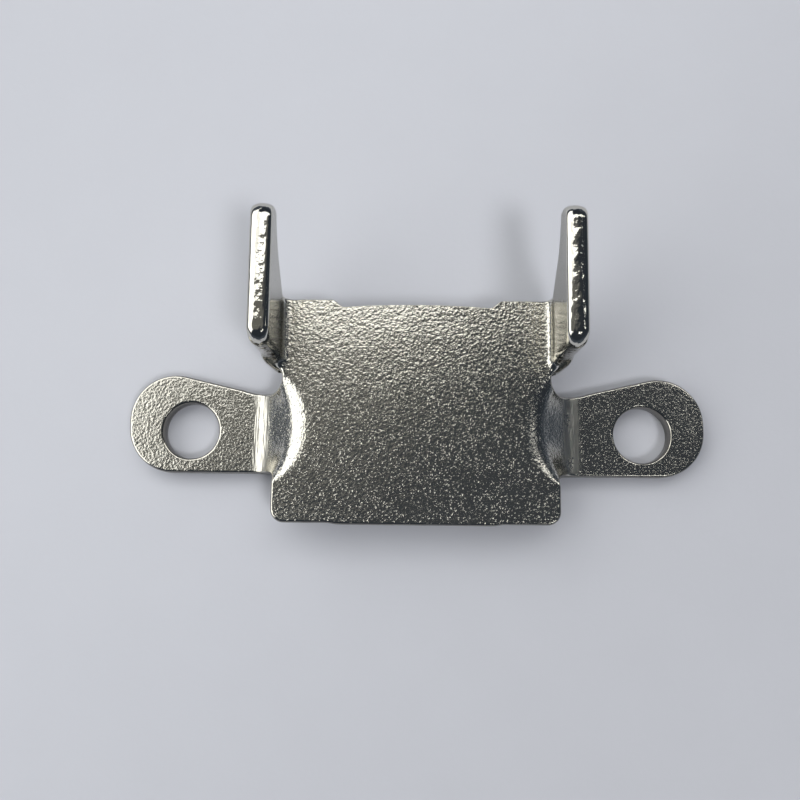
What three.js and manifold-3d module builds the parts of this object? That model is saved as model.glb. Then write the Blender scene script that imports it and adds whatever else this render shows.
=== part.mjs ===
// Horned catch bracket, pressed and folded from one strip of sheet steel.
// A raised plate stands on two lugs, which are joggled down to the mounting surface and
// take one screw each. Two horns are folded up from the plate and reach out behind it.
// Millimetres, +Z up, X along the lugs, +Y towards the tips of the horns. The bracket stands
// on z = 0, and its origin is under the middle of its bounding box.
import * as THREE from "three";
import { mergeVertices } from "three/addons/utils/BufferGeometryUtils.js";
import Module from "manifold-3d";

// Driving dimensions. Places along Y are distances from the line through the two screw holes.
const sheet = 2.0; // thickness of the strip
const overallWidth = 57.2; // from lug tip to lug tip
const holeSpacing = 44.8;
const holeDiameter = 5.5; // clears an M5 screw
const lugFront = 4.2; // from the hole line to a lug's straight front edge
const lugDepth = 9.8; // greatest size of a lug along Y
const lugCorner = 4.5; // radius of the two corners at the tip of a lug
const lugTaper = 13; // degrees that a lug's rear edge falls towards the plate
const lugRise = 3.0; // clear height under the plate
const lugNeck = 2.6; // length of the curve between lug edge and relief notch

const plateWidth = 27.7;
const plateFront = 8.95; // from the hole line to the plate's front edge
const plateRear = 12.8; // from the hole line to the plate's rear edge
const plateCorner = 1.3; // radius of the two front corners
const frontLand = 15.8; // width of the land where the blank was cut from its strip
const frontLandProud = 0.14;
const rearRecess = 15.5; // width of the shallow recess in the rear edge
const rearRecessDepth = 0.7;
const rearRecessCrown = 0.25; // how far the recess swells back in its middle
const edgeStep = 1.5; // length of the S-shaped step at each end of land and recess

const joggleEnd = 16.1; // from the middle of the bracket to where a lug runs flat
const joggleReach = 6.1; // radius of the curved crease where the plate starts to fall
const joggleCentre = 0.4; // the crease's centre, behind the hole line
const joggleShortest = 3.2; // least length of the fall, where the crease meets the plate's side
const joggleRadius = 2.4; // least radius of the crease, which is the outside of a bend
const joggleEase = 1.04; // radii of the two bends in a joggle, added up, for each unit of its length
const joggleShare = 0.615; // the crease's share of those radii

const hornGap = 26.2; // between the inner faces of the horns
const hornHeight = 8.5; // above the plate
const hornBase = 6.1; // length of the fold, from the plate's rear edge forwards
const hornOverhang = 7.05; // reach of the horn's tip past the plate's rear edge
const hornTipRadius = 1.6; // rounding of the tip's upper corner
const hornFrontRadius = 1.5; // rounding of the front upper corner
const hornCorner = 0.7; // rounding of the tip's lower corner
const bendRadius = 0.7; // inside radius of the fold between plate and horn
const hollowRadius = 7.0; // hollow under the overhanging horn
const hollowDrop = 1.43; // the hollow's centre, below the plate's top
const hollowSlope = 48; // degrees of the straight edge between plate and hollow

const reliefRadius = 1.5; // notch between horn and lug, which keeps the folds from tearing
const reliefWeb = 26.3; // width of the plate that is left between the two notches

const curveSteps = 16; // segments in one arc or curve
const joggleColumns = 18; // facets across one joggle, and along it
const joggleRows = 26;
const ballRings = 12; // samples of the ball that rolls under the joggle
const ballDirections = 24;
const reachPast = 1.0; // how far a cutting or joined solid runs past what it meets

const plateTop = lugRise + sheet;
const hornFront = plateRear - hornBase;
const hornTip = plateRear + hornOverhang;
const rightAngle = Math.PI / 2;

const wasm = await Module();
wasm.setup();

// A closed three.js geometry as a solid that can be joined and cut.
function solidFrom(geometry) {
  const closed = geometry.clone();
  closed.deleteAttribute("normal");
  closed.deleteAttribute("uv");
  const merged = mergeVertices(closed, 1e-4);
  return new wasm.Manifold(
    new wasm.Mesh({
      numProp: 3,
      vertProperties: merged.attributes.position.array,
      triVerts: new Uint32Array(merged.index.array),
    }),
  );
}

function geometryFrom(solid) {
  const mesh = solid.getMesh();
  const geometry = new THREE.BufferGeometry();
  geometry.setAttribute("position", new THREE.BufferAttribute(mesh.vertProperties, 3));
  geometry.setIndex(new THREE.BufferAttribute(mesh.triVerts, 1));
  geometry.computeVertexNormals();
  return geometry;
}

// A prism of a flat outline. Its first two axes carry the outline, and it runs along the third.
function prism(outline, length, axes) {
  const geometry = new THREE.ExtrudeGeometry(outline, {
    depth: length,
    bevelEnabled: false,
    curveSegments: curveSteps,
  });
  return geometry.applyMatrix4(new THREE.Matrix4().makeBasis(...axes));
}

const alongX = new THREE.Vector3(1, 0, 0);
const alongY = new THREE.Vector3(0, 1, 0);
const alongZ = new THREE.Vector3(0, 0, 1);

// Height of the plate's upper face, which falls to the lugs in an S of two arcs with a straight
// slope between them. The fall starts at a curved crease and ends at a straight line across the
// lug.
function upperFace(x, y) {
  const across = y - joggleCentre;
  const reach = Math.sqrt(Math.max(0, joggleReach ** 2 - across ** 2));
  const length = Math.max(joggleShortest, reach);
  const run = Math.abs(x) - (joggleEnd - reach);
  if (reach === 0 || run <= 0) return plateTop;
  if (run >= length) return plateTop - lugRise;
  const noSlope = (length ** 2 + lugRise ** 2) / (2 * lugRise);
  const bothRadii = Math.min(noSlope, joggleEase * length);
  const span = Math.hypot(bothRadii - lugRise, length);
  const slant = Math.atan2(length, bothRadii - lugRise) - Math.acos(Math.min(1, bothRadii / span));
  const first = Math.max(joggleRadius, bothRadii * joggleShare);
  const second = bothRadii - first;
  const left = length - run;
  if (left < second * Math.sin(slant)) {
    return plateTop - lugRise + second - Math.sqrt(second ** 2 - left ** 2);
  }
  if (run < first * Math.sin(slant)) {
    return plateTop - first + Math.sqrt(first ** 2 - run ** 2);
  }
  return plateTop - first * (1 - Math.cos(slant)) - (run - first * Math.sin(slant)) * Math.tan(slant);
}

// Height of the lower face, which keeps one sheet thickness from the upper face everywhere:
// a ball of that radius rolls under the upper face.
function lowerFace(x, y) {
  let height = upperFace(x, y) - sheet;
  for (let ring = 1; ring <= ballRings; ring += 1) {
    const away = (sheet * ring) / ballRings;
    const depth = Math.sqrt(sheet ** 2 - away ** 2);
    for (let i = 0; i < ballDirections; i += 1) {
      const a = (4 * rightAngle * i) / ballDirections;
      const above = upperFace(x + away * Math.cos(a), y + away * Math.sin(a));
      height = Math.min(height, above - depth);
    }
  }
  return height;
}

// The sheet with its two joggles, before its outline is cut.
function pressedSheet() {
  const halfX = overallWidth / 2 + reachPast;
  const minY = -plateFront - frontLandProud - reachPast;
  const maxY = plateRear + reachPast;
  const inner = joggleEnd - joggleReach;
  const columns = [-halfX];
  for (let i = 0; i <= joggleColumns; i += 1) {
    columns.push(-joggleEnd + (joggleReach * i) / joggleColumns);
  }
  for (let i = 0; i <= joggleColumns; i += 1) {
    columns.push(inner + (joggleReach * i) / joggleColumns);
  }
  columns.push(halfX);
  const rows = [minY];
  for (let i = 0; i <= joggleRows; i += 1) {
    rows.push(joggleCentre - joggleReach * Math.cos((Math.PI * i) / joggleRows));
  }
  rows.push(maxY);
  const nx = columns.length - 1;
  const ny = rows.length - 1;
  const grid = new THREE.BoxGeometry(nx, ny, 1, nx, ny, 1);
  const point = grid.attributes.position;
  for (let i = 0; i < point.count; i += 1) {
    const x = columns[Math.round(point.getX(i) + nx / 2)];
    const y = rows[Math.round(point.getY(i) + ny / 2)];
    const height = point.getZ(i) > 0 ? upperFace(x, y) : lowerFace(x, y);
    point.setXYZ(i, x, y, height);
  }
  return solidFrom(grid);
}

// Right half of the plan outline, from the middle of the front edge round to the rear edge.
function halfOutline() {
  const side = plateWidth / 2;
  const cornerX = overallWidth / 2 - lugCorner;
  const frontCornerY = lugCorner - lugFront;
  const rearCornerY = lugDepth - lugFront - lugCorner;
  const taper = THREE.MathUtils.degToRad(lugTaper);
  const tangentX = cornerX - lugCorner * Math.sin(taper);
  const tangentY = rearCornerY + lugCorner * Math.cos(taper);
  const notchX = reliefWeb / 2 + reliefRadius;
  const notchY = hornFront - reliefRadius;
  const neckX = notchX + lugNeck;
  const neckY = tangentY - (tangentX - neckX) * Math.tan(taper);
  const foldX = hornGap / 2 - bendRadius;
  const landIn = frontLand / 2 - edgeStep / 2;
  const landOut = frontLand / 2 + edgeStep / 2;
  const recessIn = rearRecess / 2 - edgeStep / 2;
  const recessOut = rearRecess / 2 + edgeStep / 2;
  const front = -plateFront;
  const land = front - frontLandProud;
  const recess = plateRear - rearRecessDepth;
  const crown = recess + rearRecessCrown;

  const path = new THREE.Path();
  path.moveTo(0, land);
  path.lineTo(landIn, land);
  path.bezierCurveTo(frontLand / 2, land, frontLand / 2, front, landOut, front);
  path.lineTo(side - plateCorner, front);
  path.absarc(side - plateCorner, front + plateCorner, plateCorner, -rightAngle, 0, false);
  path.lineTo(side, -lugFront);
  path.lineTo(cornerX, -lugFront);
  path.absarc(cornerX, frontCornerY, lugCorner, -rightAngle, 0, false);
  path.absarc(cornerX, rearCornerY, lugCorner, 0, rightAngle + taper, false);
  path.lineTo(neckX, neckY);
  path.quadraticCurveTo(notchX + lugNeck / 2, notchY - reliefRadius, notchX, notchY - reliefRadius);
  path.absarc(notchX, notchY, reliefRadius, -rightAngle, -2 * rightAngle, true);
  path.lineTo(reliefWeb / 2, hornFront);
  path.lineTo(foldX, hornFront);
  path.lineTo(foldX, plateRear);
  path.lineTo(recessOut, plateRear);
  path.bezierCurveTo(rearRecess / 2, plateRear, rearRecess / 2, recess, recessIn, recess);
  path.quadraticCurveTo(recessIn / 2, crown, 0, crown);
  return path.getPoints(curveSteps);
}

// The blank's outline as a tall cutter, with its two screw holes.
function outlineCutter() {
  const right = halfOutline();
  const left = right
    .slice(1, -1)
    .reverse()
    .map((p) => new THREE.Vector2(-p.x, p.y));
  const shape = new THREE.Shape([...right, ...left]);
  for (const side of [-1, 1]) {
    const hole = new THREE.Path();
    hole.absarc((side * holeSpacing) / 2, 0, holeDiameter / 2, 0, 4 * rightAngle, true);
    shape.holes.push(hole);
  }
  const height = plateTop + 2 * reachPast;
  const cutter = prism(shape, height, [alongX, alongY, alongZ]);
  return solidFrom(cutter.translate(0, 0, -reachPast));
}

// Side view of a horn: a stem on the plate and an arm that reaches out over the rear edge.
// Its underside climbs from the plate in a straight line and ends in the hollow's arc.
function hornProfile() {
  const top = plateTop + hornHeight;
  const base = plateTop - sheet;
  const centreZ = plateTop - hollowDrop;
  const slope = THREE.MathUtils.degToRad(hollowSlope);
  const meetZ = centreZ + hollowRadius * Math.cos(slope);
  const meetY = plateRear + (meetZ - plateTop) / Math.tan(slope);
  const centreY = meetY + hollowRadius * Math.sin(slope);
  const inset = centreY - (hornTip - hornCorner);
  const mouthZ = centreZ + Math.sqrt(hollowRadius ** 2 - inset ** 2);
  const mouthAngle = Math.atan2(mouthZ - centreZ, -inset);
  const tipRadius = Math.min(hornTipRadius, top - mouthZ - hornCorner);
  const frontY = hornFront + hornFrontRadius;
  const shape = new THREE.Shape();
  shape.moveTo(hornFront, base);
  shape.lineTo(hornFront, top - hornFrontRadius);
  shape.absarc(frontY, top - hornFrontRadius, hornFrontRadius, Math.PI, rightAngle, true);
  shape.absarc(hornTip - tipRadius, top - tipRadius, tipRadius, rightAngle, 0, true);
  shape.absarc(hornTip - hornCorner, mouthZ + hornCorner, hornCorner, 0, -rightAngle, true);
  shape.absarc(centreY, centreZ, hollowRadius, mouthAngle, rightAngle + slope, false);
  shape.lineTo(plateRear, plateTop);
  shape.lineTo(plateRear, base);
  return shape;
}

// Front view of a horn: the fold out of the plate and the upright wall above it.
function foldSection(side) {
  const top = plateTop + hornHeight;
  const foldX = hornGap / 2 - bendRadius;
  const foldZ = plateTop + bendRadius;
  const outer = bendRadius + sheet;
  const points = [new THREE.Vector2(foldX - reachPast, plateTop - sheet)];
  for (let i = 0; i <= curveSteps; i += 1) {
    const a = -rightAngle + (rightAngle * i) / curveSteps;
    points.push(new THREE.Vector2(foldX + outer * Math.cos(a), foldZ + outer * Math.sin(a)));
  }
  points.push(new THREE.Vector2(foldX + outer, top + reachPast));
  points.push(new THREE.Vector2(foldX + bendRadius, top + reachPast));
  for (let i = curveSteps; i >= 0; i -= 1) {
    const a = -rightAngle + (rightAngle * i) / curveSteps;
    points.push(
      new THREE.Vector2(foldX + bendRadius * Math.cos(a), foldZ + bendRadius * Math.sin(a)),
    );
  }
  points.push(new THREE.Vector2(foldX - reachPast, plateTop));
  return new THREE.Shape(points.map((p) => new THREE.Vector2(side * p.x, p.y)));
}

function horn(side) {
  const outerX = hornGap / 2 + sheet + reachPast;
  const innerX = hornGap / 2 - bendRadius - reachPast;
  const startX = side > 0 ? innerX : -outerX;
  const profile = prism(hornProfile(), outerX - innerX, [alongY, alongZ, alongX]);
  const length = hornTip - hornFront + 2 * reachPast;
  const towardsFront = alongY.clone().negate();
  const section = prism(foldSection(side), length, [alongX, alongZ, towardsFront]);
  return solidFrom(profile.translate(startX, 0, 0)).intersect(
    solidFrom(section.translate(0, hornTip + reachPast, 0)),
  );
}

const plateAndLugs = pressedSheet().intersect(outlineCutter());
const bracket = geometryFrom(plateAndLugs.add(horn(-1)).add(horn(1)));
bracket.translate(0, -(hornTip - plateFront - frontLandProud) / 2, 0);

const nickel = new THREE.MeshStandardMaterial({
  color: 0xb4b2a6,
  metalness: 1,
  roughness: 0.3,
});
const hornedBracket = new THREE.Mesh(bracket, nickel);
hornedBracket.name = "horned_bracket";

const group = new THREE.Group();
group.add(hornedBracket);
export default group;
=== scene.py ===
import math

import bpy
import numpy as np
from mathutils import Matrix, Vector
from mathutils.geometry import delaunay_2d_cdt
from mathutils.kdtree import KDTree


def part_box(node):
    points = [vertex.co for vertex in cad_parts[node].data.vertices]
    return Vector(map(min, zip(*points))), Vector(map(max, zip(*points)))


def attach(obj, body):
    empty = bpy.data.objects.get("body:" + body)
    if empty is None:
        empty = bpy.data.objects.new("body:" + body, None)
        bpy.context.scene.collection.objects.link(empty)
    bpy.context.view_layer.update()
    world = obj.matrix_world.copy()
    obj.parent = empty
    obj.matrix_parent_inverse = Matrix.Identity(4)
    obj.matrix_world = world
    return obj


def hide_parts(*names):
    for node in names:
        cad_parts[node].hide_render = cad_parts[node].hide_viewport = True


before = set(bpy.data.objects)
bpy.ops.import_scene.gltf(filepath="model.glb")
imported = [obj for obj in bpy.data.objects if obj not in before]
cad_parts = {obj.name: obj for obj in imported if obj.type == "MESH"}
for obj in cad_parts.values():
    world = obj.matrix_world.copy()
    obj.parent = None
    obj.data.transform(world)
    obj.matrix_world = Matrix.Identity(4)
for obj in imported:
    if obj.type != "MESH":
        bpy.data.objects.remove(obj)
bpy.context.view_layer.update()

node_low, node_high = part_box("horned_bracket")
mm = 0.001

# ------------------------------------------------------------------ the blank
# The bracket begins as a flat blank punched from 2 mm steel strip: a plate, a lug to each
# side with its screw hole, and a horn to each side. It is tumbled before it is plated, so
# every sheared edge is round.
strip = 2.0 * mm
plate_half = 13.85 * mm
plate_front = 8.95 * mm
plate_rear = 12.8 * mm
plate_corner = 1.3 * mm
land_half = 7.9 * mm
land_proud = 0.14 * mm
recess_half = 7.75 * mm
recess_depth = 0.7 * mm
recess_crown = 0.25 * mm
edge_step = 1.5 * mm
lug_front = 4.2 * mm
lug_depth = 9.8 * mm
lug_corner = 4.5 * mm
lug_taper = math.radians(13)
lug_neck = 2.6 * mm
lug_root = 0.45 * mm
hole_reach = 22.4 * mm
hole_radius = 2.75 * mm
notch_radius = 1.5 * mm
notch_web = 13.15 * mm
horn_base = 6.1 * mm
horn_tip_corner = 1.6 * mm
horn_front_corner = 1.5 * mm
horn_corner = 0.7 * mm
fold_line = 12.4 * mm
fold_radius = 0.7 * mm
hollow_radius = 7.0 * mm
hollow_drop = 1.43 * mm
hollow_slope = math.radians(48)
horn_height = 8.5 * mm

# The rounding reaches this far into a face all round, further along a horn and at its front,
# and less far on the rear edge of the plate.
edge_reach = 0.36 * mm
horn_more = 0.09 * mm
front_more_above = 0.25 * mm
front_more_below = 0.5 * mm
rear_less = 0.2 * mm

# The web beside the notch, in which the fold grows from nothing, and what lies on a lug.
web_start = 4.6 * mm
web_length = 2.05 * mm
lug_side = 14.4 * mm
lug_rear = 6.0 * mm

# The mesh is fine enough for each bend to stay smooth.
edge_spacing = 0.15 * mm
face_spacing = 0.2 * mm
face_margin = 0.06 * mm
edge_turns = np.radians(90 * (1 - (1 - np.linspace(0, 1, 9)) ** 2))

hole_line = node_low.y + plate_front + land_proud
horn_front = plate_rear - horn_base
horn_tip = node_high.y - hole_line
plate_top = node_high.z - horn_height
fold_length = fold_radius * math.pi / 2
horn_top = fold_line + fold_length + (node_high.z - plate_top) - fold_radius


def arc(x, y, radius, start, end):
    """Points on an arc about x, y, from one angle in degrees to another."""
    steps = max(8, int(abs(end - start) / 3))
    turn = np.radians(np.linspace(start, end, steps + 1))
    return np.stack([x + radius * np.cos(turn), y + radius * np.sin(turn)], axis=1)


def curve(*controls):
    """Points on a Bezier curve with three or four control points."""
    t = np.linspace(0, 1, 25)[:, None]
    p = [np.array(c) for c in controls]
    while len(p) > 1:
        p = [a + (b - a) * t for a, b in zip(p, p[1:])]
    return p[0]


def evenly(points, spacing):
    """A closed outline with its points spread evenly along it."""
    loop = np.vstack([points, points[:1]])
    along = np.concatenate([[0], np.cumsum(np.hypot(*np.diff(loop, axis=0).T))])
    count = int(round(along[-1] / spacing))
    at = np.arange(count) * along[-1] / count
    return np.stack([np.interp(at, along, loop[:, i]) for i in range(2)], axis=1)


def right_half():
    """The outline from the middle of the front edge, round lug and horn, to the rear edge."""
    front, land = -plate_front, -plate_front - land_proud
    recess, crown = plate_rear - recess_depth, plate_rear - recess_depth + recess_crown
    tip = node_high.x - lug_corner
    rear_corner = lug_depth - lug_front - lug_corner
    notch_x, notch_y = notch_web + notch_radius, horn_front - notch_radius
    neck_x = notch_x + lug_neck
    taper_x = tip - lug_corner * math.sin(lug_taper)
    neck_y = (rear_corner + lug_corner * math.cos(lug_taper)
              - (taper_x - neck_x) * math.tan(lug_taper))
    notch_low = notch_y - notch_radius
    unroll = fold_line + fold_length - fold_radius
    meet_z = hollow_radius * math.cos(hollow_slope) - hollow_drop
    meet_y = plate_rear + meet_z / math.tan(hollow_slope)
    centre_y = meet_y + hollow_radius * math.sin(hollow_slope)
    centre_x = unroll - hollow_drop
    mouth_y = horn_tip - horn_corner
    mouth = math.acos((centre_y - mouth_y) / hollow_radius)
    mouth_x = centre_x + hollow_radius * math.sin(mouth)
    root_x = unroll + fold_radius
    root_y = plate_rear + fold_radius / math.tan(hollow_slope)
    foot = root_x - fold_radius
    step = edge_step / 2
    return np.vstack([
        [(0, land)],
        curve((land_half - step, land), (land_half, land), (land_half, front),
              (land_half + step, front)),
        arc(plate_half - plate_corner, front + plate_corner, plate_corner, -90, 0),
        arc(plate_half + lug_root, -lug_front - lug_root, lug_root, 180, 90),
        arc(tip, lug_corner - lug_front, lug_corner, -90, 0),
        arc(tip, rear_corner, lug_corner, 0, 90 + math.degrees(lug_taper)),
        curve((neck_x, neck_y), (notch_x + lug_neck / 2, notch_low), (notch_x, notch_low)),
        arc(notch_x, notch_y, notch_radius, -90, -180),
        curve((notch_web, notch_y), (notch_web, notch_y + notch_radius / 2),
              (notch_web + fold_radius / 2, horn_front), (notch_x, horn_front)),
        arc(horn_top - horn_front_corner, horn_front + horn_front_corner,
            horn_front_corner, -90, 0),
        arc(horn_top - horn_tip_corner, horn_tip - horn_tip_corner, horn_tip_corner, 0, 90),
        arc(mouth_x + horn_corner, mouth_y, horn_corner, 90, 180),
        [(centre_x + hollow_radius * math.sin(a), centre_y - hollow_radius * math.cos(a))
         for a in np.linspace(mouth, math.pi / 2 - hollow_slope, 24)],
        curve((root_x, root_y), (foot, plate_rear), (foot - fold_radius, plate_rear)),
        curve((recess_half + step, plate_rear), (recess_half, plate_rear),
              (recess_half, recess), (recess_half - step, recess)),
        curve((recess_half - step, recess), (recess_half / 2, crown), (0, crown)),
    ])


right = right_half()
outline = np.vstack([right, (right[1:-1] * (-1, 1))[::-1]])
loops = [evenly(outline, edge_spacing)]
for side in (1, -1):
    loops.append(evenly(arc(side * hole_reach, 0, hole_radius, 360, 0)[:-1], edge_spacing))


def smooth(value, low, high):
    """Zero below low, one above high, and an even S between them."""
    t = np.clip((value - low) / (high - low), 0, 1)
    return t * t * (3 - 2 * t)


def inward(loop):
    """Unit vectors across the outline, into the metal."""
    ahead = np.roll(loop, -1, axis=0) - np.roll(loop, 1, axis=0)
    ahead /= np.hypot(*ahead.T)[:, None]
    return np.stack([-ahead[:, 1], ahead[:, 0]], axis=1)


def off_lug(flat):
    """True for the places on the blank that are plate, web or horn."""
    return (np.abs(flat[:, 0]) < lug_side) | (flat[:, 1] > lug_rear)


def edge_shape(loop):
    """How far the rounding reaches into the upper and the lower face, and its sharpness."""
    away, along = np.abs(loop[:, 0]), loop[:, 1]
    horn = smooth(away, 12 * mm, 13.6 * mm) * smooth(along, 4.8 * mm, 6.6 * mm)
    horn = horn * off_lug(loop)
    front = horn * (1 - smooth(along, horn_front + 0.3 * mm, horn_front + 1.5 * mm))
    rear = smooth(along, 11.2 * mm, 11.8 * mm) * (1 - smooth(away, 11 * mm, 12 * mm))
    reach = edge_reach + horn_more * horn - rear_less * rear
    upper = reach + front_more_above * front
    lower = reach + front_more_below * front
    return upper[:, None], lower[:, None], 2 / (4 - 2 * horn[:, None])


def rounded_edge(loop):
    """Rings from the upper face round the edge to the lower one: places, depths, roundness."""
    across = inward(loop)
    upper, lower, power = edge_shape(loop)
    margin = lower + face_margin
    flat, none = loop + across * margin, np.zeros(len(loop))
    rings = [(flat, 0 * margin, none)]
    for half, inset, turns in ((1, upper, edge_turns[::-1]), (-1, lower, edge_turns[1:])):
        for turn in turns:
            out = max(math.cos(turn), 0) ** power
            up = half * math.sin(turn) ** power
            rings.append((loop + across * inset * (1 - out), (up - 1) * strip / 2, out[:, 0]))
    rings.append((flat, 0 * margin - strip, none))
    return rings


def face_pattern(ring_flat, borders):
    """The points to add between the inner rings, and the triangles that fill the face."""
    near = KDTree(len(ring_flat))
    for i, (x, y) in enumerate(ring_flat):
        near.insert((x, y, 0), i)
    near.balance()
    inner = []
    low, high = ring_flat.min(axis=0), ring_flat.max(axis=0)
    rows = np.arange(low[1], high[1], face_spacing * math.sqrt(3) / 2)
    for n, y in enumerate(rows):
        for x in np.arange(low[0] + (n % 2) * face_spacing / 2, high[0], face_spacing):
            if near.find((x, y, 0))[2] > face_spacing * 0.6:
                inner.append((x, y))
    flat = [Vector(p) for p in np.vstack([ring_flat, inner])]
    _, _, tris, origin, _, _ = delaunay_2d_cdt(flat, [], borders, 2, 1e-9)
    tris = np.array([o[0] for o in origin])[np.array(tris)]
    used = np.unique(tris[tris >= len(ring_flat)])
    renumber = np.arange(len(flat))
    renumber[used] = len(ring_flat) + np.arange(len(used))
    return np.array(inner)[used - len(ring_flat)], renumber[tris]


def blank_mesh():
    """The flat blank as one closed mesh: two faces of small triangles and rounded edges."""
    points, rims, blocks = [], [], []
    ring_flat, borders, upper, lower = [], [], [], []
    count = flat_count = 0
    for loop in loops:
        rings = rounded_edge(loop)
        own = np.arange(len(loop))
        ahead = np.roll(own, -1)
        starts = count + len(loop) * np.arange(len(rings))
        for flat, depth, rim in rings:
            points.append(np.hstack([flat, depth]))
            rims.append(rim)
        for one, two in zip(starts, starts[1:]):
            blocks.append(np.stack([one + own, two + own, two + ahead, one + ahead], axis=1))
        ring_flat.append(rings[0][0])
        borders.append((flat_count + own).tolist())
        upper.append(starts[0] + own)
        lower.append(starts[-1] + own)
        flat_count += len(loop)
        count += len(loop) * len(rings)

    # The two faces share one pattern of triangles, and the lower one is turned over.
    inner, tris = face_pattern(np.vstack(ring_flat), borders)
    for face, depth in ((upper, 0), (lower, -strip)):
        face.append(count + np.arange(len(inner)))
        points.append(np.hstack([inner, np.full((len(inner), 1), depth)]))
        rims.append(np.zeros(len(inner)))
        count += len(inner)
    blocks.append(np.concatenate(upper)[tris])
    blocks.append(np.concatenate(lower)[tris][:, ::-1])
    place = np.vstack(points)
    mesh = bpy.data.meshes.new("horned_bracket_plated")
    mesh.from_pydata(place.tolist(), [], [tuple(f) for block in blocks for f in block.tolist()])
    mesh.attributes.new("rim", "FLOAT", "POINT").data.foreach_set("value", np.concatenate(rims))
    # The fold dies away through the narrow web beside the notch and never reaches a lug.
    folded = np.clip((place[:, 1] - web_start) / web_length, 0, 1) ** 1.5 * off_lug(place)
    mesh.attributes.new("folded", "FLOAT", "POINT").data.foreach_set("value", folded)
    mesh.shade_smooth()
    mesh.update()
    return mesh


bracket = bpy.data.objects.new("bracket_plated", blank_mesh())
bpy.context.scene.collection.objects.link(bracket)


# ---------------------------------------------------------------- the pressing
# One stroke presses the joggles, which drop each lug by 3 mm in an S that starts on a curved
# crease in the plate, and folds the two horns up round a 0.7 mm edge. The metal keeps its
# gauge, so each point goes where its place on the blank and its depth put it.
class Wire:
    """A socket of a node tree. Maths on it adds Math nodes, so a rule reads as a formula."""

    def __init__(self, socket):
        self.socket = socket
        self.tree = socket.id_data

    @staticmethod
    def node(tree, kind, settings=None, sockets=None, output=0):
        """Any other node: its settings first, then the values or links of its sockets."""
        made = tree.nodes.new(kind)
        for name, value in (settings or {}).items():
            setattr(made, name, value)
        for name, value in (sockets or {}).items():
            if isinstance(value, Wire):
                tree.links.new(value.socket, made.inputs[name])
            else:
                made.inputs[name].default_value = value
        return Wire(made.outputs[output])

    def maths(self, operation, *values):
        return Wire.node(self.tree, "ShaderNodeMath", {"operation": operation},
                         dict(enumerate(values)))

    def __add__(self, other):
        return self.maths("ADD", self, other)

    def __radd__(self, other):
        return self.maths("ADD", other, self)

    def __sub__(self, other):
        return self.maths("SUBTRACT", self, other)

    def __rsub__(self, other):
        return self.maths("SUBTRACT", other, self)

    def __mul__(self, other):
        return self.maths("MULTIPLY", self, other)

    def __rmul__(self, other):
        return self.maths("MULTIPLY", other, self)

    def __truediv__(self, other):
        return self.maths("DIVIDE", self, other)

    def __rtruediv__(self, other):
        return self.maths("DIVIDE", other, self)

    def __gt__(self, other):
        return self.maths("GREATER_THAN", self, other)

    def __lt__(self, other):
        return self.maths("LESS_THAN", self, other)

    def root(self):
        return self.maths("SQRT", self.above(0))

    def above(self, other):
        return self.maths("MAXIMUM", self, other)

    def below(self, other):
        return self.maths("MINIMUM", self, other)

    def sine(self):
        return self.maths("SINE", self)

    def cosine(self):
        return self.maths("COSINE", self)

    def tangent(self):
        return self.maths("TANGENT", self)

    def ramp(self, low, high):
        """Zero below low, one above high, and an even S between them."""
        return Wire.node(self.tree, "ShaderNodeMapRange", {"interpolation_type": "SMOOTHSTEP"},
                         {"Value": self, "From Min": low, "From Max": high})


def choose(mask, one, other):
    """One value where the mask is 1 and the other where it is 0."""
    return other + (one - other) * mask


press_sizes = {
    "Plate Top": plate_top,
    "Hole Line": hole_line,
    "Fold Line": fold_line,
    "Fold Radius": fold_radius,
    "Lug Drop": plate_top - strip,
    "Joggle End": 16.1 * mm,
    "Joggle Reach": 6.1 * mm,
    "Joggle Centre": 0.4 * mm,
    "Joggle Shortest": 3.2 * mm,
    "Joggle Radius": 2.4 * mm,
    "Joggle Ease": 1.04,
    "Joggle Share": 0.615,
    "Ripple": 0.02 * mm,
    "Ripple Length": 3.0 * mm,
    "Edge Ripple": 0.03 * mm,
    "Edge Ripple Fineness": 2.6,
}


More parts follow.
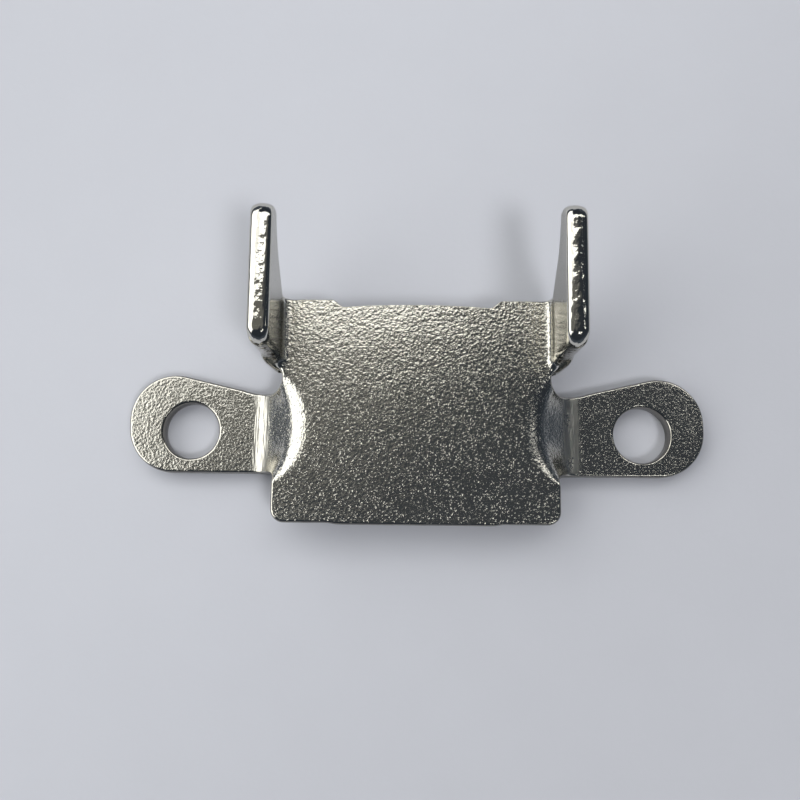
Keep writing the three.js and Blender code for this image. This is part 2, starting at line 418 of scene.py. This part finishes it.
def press_tree():
    """The press as a node tree: blank in, finished bracket out."""
    tree = bpy.data.node_groups.new("press", "GeometryNodeTree")
    tree.interface.new_socket("Geometry", in_out="INPUT", socket_type="NodeSocketGeometry")
    for name in press_sizes:
        tree.interface.new_socket(name, in_out="INPUT", socket_type="NodeSocketFloat")
    tree.interface.new_socket("Finish", in_out="INPUT", socket_type="NodeSocketMaterial")
    tree.interface.new_socket("Geometry", in_out="OUTPUT", socket_type="NodeSocketGeometry")
    given = tree.nodes.new("NodeGroupInput")
    size = {name: Wire(given.outputs[name]) for name in press_sizes}

    place = Wire.node(tree, "GeometryNodeInputPosition")
    x, y, depth = (Wire.node(tree, "ShaderNodeSeparateXYZ", None, {0: place}, i) for i in range(3))
    side = x.maths("SIGN", x)
    away = x.maths("ABSOLUTE", x)

    def fall(out, along):
        """How far the plate's face has dropped: an arc, a straight slope and a second arc."""
        across = along - size["Joggle Centre"]
        reach = (size["Joggle Reach"] * size["Joggle Reach"] - across * across).root()
        length = reach.above(size["Joggle Shortest"])
        run = (out - size["Joggle End"] + reach).above(0).below(length)
        drop = size["Lug Drop"]
        both = (length * length + drop * drop) / (drop * 2)
        both = both.below(length * size["Joggle Ease"])
        span = ((both - drop) * (both - drop) + length * length).root()
        slant = (length.maths("ARCTAN2", length, both - drop)
                 - both.maths("ARCCOSINE", (both / span).below(1)))
        first = (both * size["Joggle Share"]).above(size["Joggle Radius"])
        second = both - first
        left = length - run
        upper = first - (first * first - run * run).root()
        ramp = first * (1 - slant.cosine()) + (run - first * slant.sine()) * slant.tangent()
        lower = drop - second + (second * second - left * left).root()
        down = choose(run < first * slant.sine(), upper, ramp)
        return choose(left < second * slant.sine(), lower, down) * (reach > 0)

    # The metal below a point lies square to the face, so the face's slopes are measured.
    nudge = 0.02 * mm
    dropped = fall(away, y)
    slope_x = (fall(away + nudge, y) - dropped) / nudge
    slope_y = (fall(away, y + nudge) - dropped) / nudge

    # Past the fold line the sheet runs round an arc and then straight up. In the web it turns
    # by only a share of that, round a larger arc.
    folded = Wire.node(tree, "GeometryNodeInputNamedAttribute", {"data_type": "FLOAT"},
                       {"Name": "folded"})
    share = folded.above(0.0001)
    beyond = (away - size["Fold Line"]).above(0)
    in_arc = beyond.below(size["Fold Radius"] * (math.pi / 2))
    turn = share * in_arc / size["Fold Radius"]
    radius = size["Fold Radius"] / share
    flat = beyond - in_arc
    out = away.below(size["Fold Line"]) + radius * turn.sine() + flat * turn.cosine()
    up = radius * (1 - turn.cosine()) + flat * turn.sine()
    is_folded = folded > 0.0001
    out = choose(is_folded, out, away)
    up = up * is_folded
    turn = turn * is_folded

    face = Wire.node(tree, "ShaderNodeCombineXYZ", None, {
        0: side * out, 1: y + size["Hole Line"], 2: up - dropped + size["Plate Top"]})
    normal = Wire.node(tree, "ShaderNodeVectorMath", {"operation": "NORMALIZE"}, {
        0: Wire.node(tree, "ShaderNodeCombineXYZ", None, {
            0: side * (slope_x - turn.sine()), 1: slope_y, 2: turn.cosine()})})
    inside = Wire.node(tree, "ShaderNodeVectorMath", {"operation": "SCALE"},
                       {0: normal, "Scale": depth})
    formed = Wire.node(tree, "ShaderNodeVectorMath", {"operation": "ADD"}, {0: face, 1: inside})
    pressed = Wire.node(tree, "GeometryNodeSetPosition", None,
                        {"Geometry": Wire(given.outputs["Geometry"]), "Position": formed})

    # Strip is never quite flat after the press, and its sheared edges wander a little more.
    rim = Wire.node(tree, "GeometryNodeInputNamedAttribute", {"data_type": "FLOAT"},
                    {"Name": "rim"})

    def waves(scale):
        return Wire.node(tree, "ShaderNodeTexNoise", {"noise_dimensions": "3D"}, {
            "Vector": place, "Scale": scale, "Detail": 1.0}) - 0.5

    scale = 1 / size["Ripple Length"]
    fine = waves(scale * size["Edge Ripple Fineness"])
    lift = waves(scale) * size["Ripple"] + fine * size["Edge Ripple"] * rim
    rippled = Wire.node(tree, "GeometryNodeSetPosition", None, {
        "Geometry": pressed,
        "Offset": Wire.node(tree, "ShaderNodeVectorMath", {"operation": "SCALE"}, {
            0: Wire.node(tree, "GeometryNodeInputNormal"), "Scale": lift})})
    real = Wire.node(tree, "GeometryNodeRealizeInstances", None, {"Geometry": rippled})
    finished = Wire.node(tree, "GeometryNodeSetMaterial", None,
                         {"Geometry": real, "Material": Wire(given.outputs["Finish"])})
    result = tree.nodes.new("NodeGroupOutput")
    tree.links.new(finished.socket, result.inputs["Geometry"])
    return tree


# Bright nickel over steel: the strip's pebbled skin shows through on the flat faces, and
# tumbling has polished the edges, the folds and the horns.
def nickel_plate():
    """The plating. Its noise has so many hills to a millimetre, and its heights are in mm."""
    made = bpy.data.materials.new("bright_nickel")
    made.use_nodes = True
    tree = made.node_tree
    shader = tree.nodes["Principled BSDF"]
    place = Wire.node(tree, "ShaderNodeTexCoord", output=3)
    rim = Wire.node(tree, "ShaderNodeAttribute", {"attribute_name": "rim"}, None, 2)
    folded = Wire.node(tree, "ShaderNodeAttribute", {"attribute_name": "folded"}, None, 2)
    x, y, z = (Wire.node(tree, "ShaderNodeSeparateXYZ", None, {0: place}, i) for i in range(3))
    away = x.maths("ABSOLUTE", x)

    def noise(hills, detail, stretch=(1, 1, 1)):
        """Hills and hollows round zero, so that a mask on them leaves no step."""
        spread = Wire.node(tree, "ShaderNodeMapping", None, {"Vector": place, "Scale": stretch})
        return Wire.node(tree, "ShaderNodeTexNoise", None, {
            "Vector": spread, "Scale": hills / mm, "Detail": detail}) - 0.5

    # Where a surface is: on a horn, on the web below it, in a lug's bend, on a joggle's crease
    # or beside the rear edge.
    horn = folded * z.ramp(plate_top + 0.2 * mm, plate_top + 1.4 * mm)
    web = folded.ramp(0.0, 0.1) * away.ramp(fold_line, fold_line + 0.5 * mm)
    bend = away.ramp(14.2 * mm, 14.7 * mm) * (1 - away.ramp(16.0 * mm, 16.5 * mm))
    bend = bend * (1 - z.ramp(plate_top - 1.2 * mm, plate_top - 0.6 * mm))
    crease = (1 - z.ramp(plate_top - 0.5 * mm, plate_top - 0.05 * mm)) * (away < 14.2 * mm)
    rear_edge = hole_line + plate_rear
    rear = y.ramp(rear_edge - 2.6 * mm, rear_edge)
    polished = (rim.ramp(0.05, 0.6) + horn * 0.5).below(1)

    # The skin is pebbled with small steep pits, less so where the press has ironed it. It is
    # drawn into lines in the bends and pulled at the rear edge. Sheared edges are rougher.
    pits = 0 - (noise(6.5, 0.0) - 0.19).above(0)
    pebble = (noise(3.9, 1.0) * 0.045 + pits * 0.18) * (1 - 0.7 * bend) * (1 - 0.55 * crease)
    swell = noise(1.1, 1.0) * 0.016
    drawn = noise(5.5, 1.0, (1, 0.12, 1)) * bend * 0.06
    pulled = noise(3.0, 1.0, (1, 0.25, 1)) * rear * 0.035
    shear = noise(1.3, 1.0, (1, 0.6, 1)) * 0.1 + noise(3.4, 1.0) * 0.018
    sheared = shear * rim.ramp(0.8, 0.96) * (1 - web * (1 - horn))
    height = ((pebble + swell + drawn + pulled) * (1 - polished) + sheared
              + noise(0.9, 1.0) * polished * 0.02)
    bump = Wire.node(tree, "ShaderNodeBump", None,
                     {"Strength": 1.0, "Distance": mm, "Height": height})
    tree.links.new(bump.socket, shader.inputs["Normal"])
    rough = 0.18 + 0.05 * noise(0.5, 3.0) - 0.1 * polished + 0.1 * bend
    tree.links.new(rough.socket, shader.inputs["Roughness"])

    # The nickel is a little uneven in tone. The sheared faces are darker: partly thin plating,
    # partly painted shade standing in for the dark reflections and contact shadow along the edges.
    tint = Wire.node(tree, "ShaderNodeMix", {"data_type": "RGBA"}, {
        0: noise(0.25, 4.0) + 0.5, 6: (0.64, 0.62, 0.56, 1), 7: (0.70, 0.685, 0.625, 1)}, 2)
    shade = Wire.node(tree, "ShaderNodeMix", {"data_type": "RGBA"}, {
        0: rim.ramp(0.45, 0.85) * (1 - web), 6: tint, 7: (0.25, 0.24, 0.22, 1)}, 2)
    tree.links.new(shade.socket, shader.inputs["Base Color"])
    shader.inputs["Specular Tint"].default_value = (0.72, 0.72, 0.72, 1)
    shader.inputs["Metallic"].default_value = 1.0
    return made


nickel = nickel_plate()
press = bracket.modifiers.new("press", "NODES")
press.node_group = press_tree()
for item in press.node_group.interface.items_tree:
    if item.in_out == "INPUT" and item.name in press_sizes:
        press[item.identifier] = press_sizes[item.name]
    elif item.in_out == "INPUT" and item.name == "Finish":
        press[item.identifier] = nickel

shown = bracket.evaluated_get(bpy.context.evaluated_depsgraph_get())
formed_mesh = bpy.data.meshes.new_from_object(shown)
bracket.modifiers.remove(press)
bracket.data = formed_mesh
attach(bracket, "root")
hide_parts("horned_bracket")


# ------------------------------------------------------------------- the stage
# A sheet of pale paper lies under the bracket. Its colour is painted a little darker towards the
# front right: painted shade for the window light falling off, over a faint cloudiness of its own.
def paper_floor():
    half_width = 0.6
    corners = [(-half_width, -half_width, 0), (half_width, -half_width, 0),
               (half_width, half_width, 0), (-half_width, half_width, 0)]
    mesh = bpy.data.meshes.new("paper")
    mesh.from_pydata(corners, [], [(0, 1, 2, 3)])
    made = bpy.data.materials.new("pale_paper")
    made.use_nodes = True
    tree = made.node_tree
    shader = tree.nodes["Principled BSDF"]
    place = Wire.node(tree, "ShaderNodeTexCoord", output=3)
    x, y = (Wire.node(tree, "ShaderNodeSeparateXYZ", None, {0: place}, i) for i in range(2))

    def noise(hills, detail):
        return Wire.node(tree, "ShaderNodeTexNoise", None,
                         {"Vector": place, "Scale": hills / mm, "Detail": detail})

    # Painted shade: the paper's colour darkens towards the front right, where the window light
    # falls off.
    painted_light = (y * 0.8 - x).ramp(-60 * mm, 50 * mm) * 0.8 + noise(0.12, 6.0) * 0.2
    tint = Wire.node(tree, "ShaderNodeMix", {"data_type": "RGBA"}, {
        0: painted_light, 6: (0.50, 0.51, 0.56, 1), 7: (0.62, 0.635, 0.695, 1)}, 2)
    tree.links.new(tint.socket, shader.inputs["Base Color"])
    bump = Wire.node(tree, "ShaderNodeBump", None,
                     {"Strength": 0.3, "Distance": 0.05 * mm, "Height": noise(1.5, 3.0)})
    tree.links.new(bump.socket, shader.inputs["Normal"])
    shader.inputs["Roughness"].default_value = 0.9
    mesh.materials.append(made)
    floor = bpy.data.objects.new("paper_floor", mesh)
    bpy.context.scene.collection.objects.link(floor)


paper_floor()


# Soft light comes from windows behind and on the left. A small lamp shines from the front
# right and a narrow one low on the right, and the room is dark apart from a little haze.
def soft_room():
    """The room as light by direction. Right and rear are how far it leans from straight up."""
    made = bpy.data.worlds.new("soft_room")
    made.use_nodes = True
    tree = made.node_tree
    toward = Wire.node(tree, "ShaderNodeTexCoord", output=3)
    dx, dy, dz = (Wire.node(tree, "ShaderNodeSeparateXYZ", None, {0: toward}, i)
                  for i in range(3))
    height = dz.above(0.05)
    right, rear = dx / height, dy / height
    left = 0 - right
    back = (rear * 0.89 + left * 0.45).ramp(0.08, 0.18) * (1 - rear.ramp(0.8, 1.1))
    back = back * (1 - 0.35 * left.ramp(0.2, 0.34))
    side = left.ramp(0.38, 0.58) * (rear + left * 0.8).ramp(0.0, 0.25)
    window = back.above(side) * dz.ramp(0.25, 0.4)
    lamp_right, lamp_rear = 0.34, -0.36
    from_right, from_rear = right - lamp_right, rear - lamp_rear
    lamp = 1 - (from_right * from_right + from_rear * from_rear).root().ramp(0.07, 0.14)
    across = right - rear * 0.35
    slit = across.ramp(0.74, 0.8) * (1 - across.ramp(0.9, 0.96))
    slit = slit * rear.ramp(0.15, 0.19) * (1 - rear.ramp(0.26, 0.32))
    haze = 1 - dz.ramp(0.05, 0.4)
    glow = window * 2.1 + lamp * 3.0 + slit * 3.5 + haze * 0.07
    shade = Wire.node(tree, "ShaderNodeMix", {"data_type": "RGBA"}, {
        0: glow.below(1), 6: (0.62, 0.76, 1.0, 1), 7: (1.0, 1.0, 0.97, 1)}, 2)
    backdrop = tree.nodes["Background"]
    tree.links.new(shade.socket, backdrop.inputs["Color"])
    tree.links.new((glow + 0.045).socket, backdrop.inputs["Strength"])
    return made


bpy.context.scene.world = soft_room()


# The camera looks down from over the front edge of the plate, turned a little each way.
camera_x = -0.674 * mm
camera_y = hole_line - 7.945 * mm
camera_z = plate_top + 81.553 * mm
pitch, yaw, roll = -0.132, 0.011, 0.010

camera_data = bpy.data.cameras.new("camera")
camera_data.lens = 38.43
camera_data.sensor_width = 36.0
camera_data.clip_start = 5 * mm
camera = bpy.data.objects.new("camera", camera_data)
down = Matrix(((1, 0, 0), (0, -1, 0), (0, 0, -1)))
tilt = Matrix(((1, 0, 0), (0, math.cos(pitch), -math.sin(pitch)),
               (0, math.sin(pitch), math.cos(pitch))))
swing = Matrix(((math.cos(yaw), 0, math.sin(yaw)), (0, 1, 0),
                (-math.sin(yaw), 0, math.cos(yaw))))
spin = Matrix(((math.cos(roll), -math.sin(roll), 0), (math.sin(roll), math.cos(roll), 0),
               (0, 0, 1)))
look = spin @ swing @ tilt @ down
axes = Matrix((look[0], -look[1], -look[2])).transposed()
camera.matrix_world = Matrix.Translation(
    Vector((camera_x, camera_y, camera_z))) @ axes.to_4x4()
bpy.context.scene.collection.objects.link(camera)
bpy.context.scene.camera = camera
bpy.context.scene.view_settings.view_transform = "Standard"


# A dark card hangs over the bracket, so that the plate doesn't mirror the room behind it. Only
# reflections see it, and it is a little lighter towards the rear and the left.
def dark_card():
    above_camera = 2 * mm
    corners = [(-56 * mm, 0), (60 * mm, 0), (60 * mm, 75 * mm), (0, 43 * mm), (-56 * mm, 38 * mm)]
    mesh = bpy.data.meshes.new("card")
    mesh.from_pydata([(camera_x + x, camera_y + y, camera_z + above_camera) for x, y in corners],
                     [], [(4, 3, 2, 1, 0)])
    made = bpy.data.materials.new("black_felt")
    made.use_nodes = True
    tree = made.node_tree
    shader = tree.nodes["Principled BSDF"]
    shader.inputs["Base Color"].default_value = (0, 0, 0, 1)
    shader.inputs["Specular IOR Level"].default_value = 0.0
    shader.inputs["Emission Strength"].default_value = 1.0
    place = Wire.node(tree, "ShaderNodeTexCoord", output=3)
    x, y = (Wire.node(tree, "ShaderNodeSeparateXYZ", None, {0: place}, i) for i in range(2))
    rear = y - camera_y - (x - camera_x) * 0.9
    glim = Wire.node(tree, "ShaderNodeMix", {"data_type": "RGBA"}, {
        0: rear.ramp(8 * mm, 36 * mm), 6: (0.028, 0.034, 0.044, 1), 7: (0.16, 0.16, 0.152, 1)}, 2)
    tree.links.new(glim.socket, shader.inputs["Emission Color"])
    mesh.materials.append(made)
    card = bpy.data.objects.new("dark_card", mesh)
    bpy.context.scene.collection.objects.link(card)
    card.visible_camera = False
    card.visible_diffuse = False
    card.visible_shadow = False


dark_card()

# The lamp at the front right throws the soft shadows of the horns.
lamp_direction = Vector((0.36, -0.38, 1))
lamp_data = bpy.data.lights.new("front_lamp", "SUN")
lamp_data.energy = 0.95
lamp_data.angle = math.radians(16)
lamp = bpy.data.objects.new("front_lamp", lamp_data)
lamp.rotation_euler = lamp_direction.to_track_quat("Z", "Y").to_euler()
lamp.visible_glossy = False
bpy.context.scene.collection.objects.link(lamp)
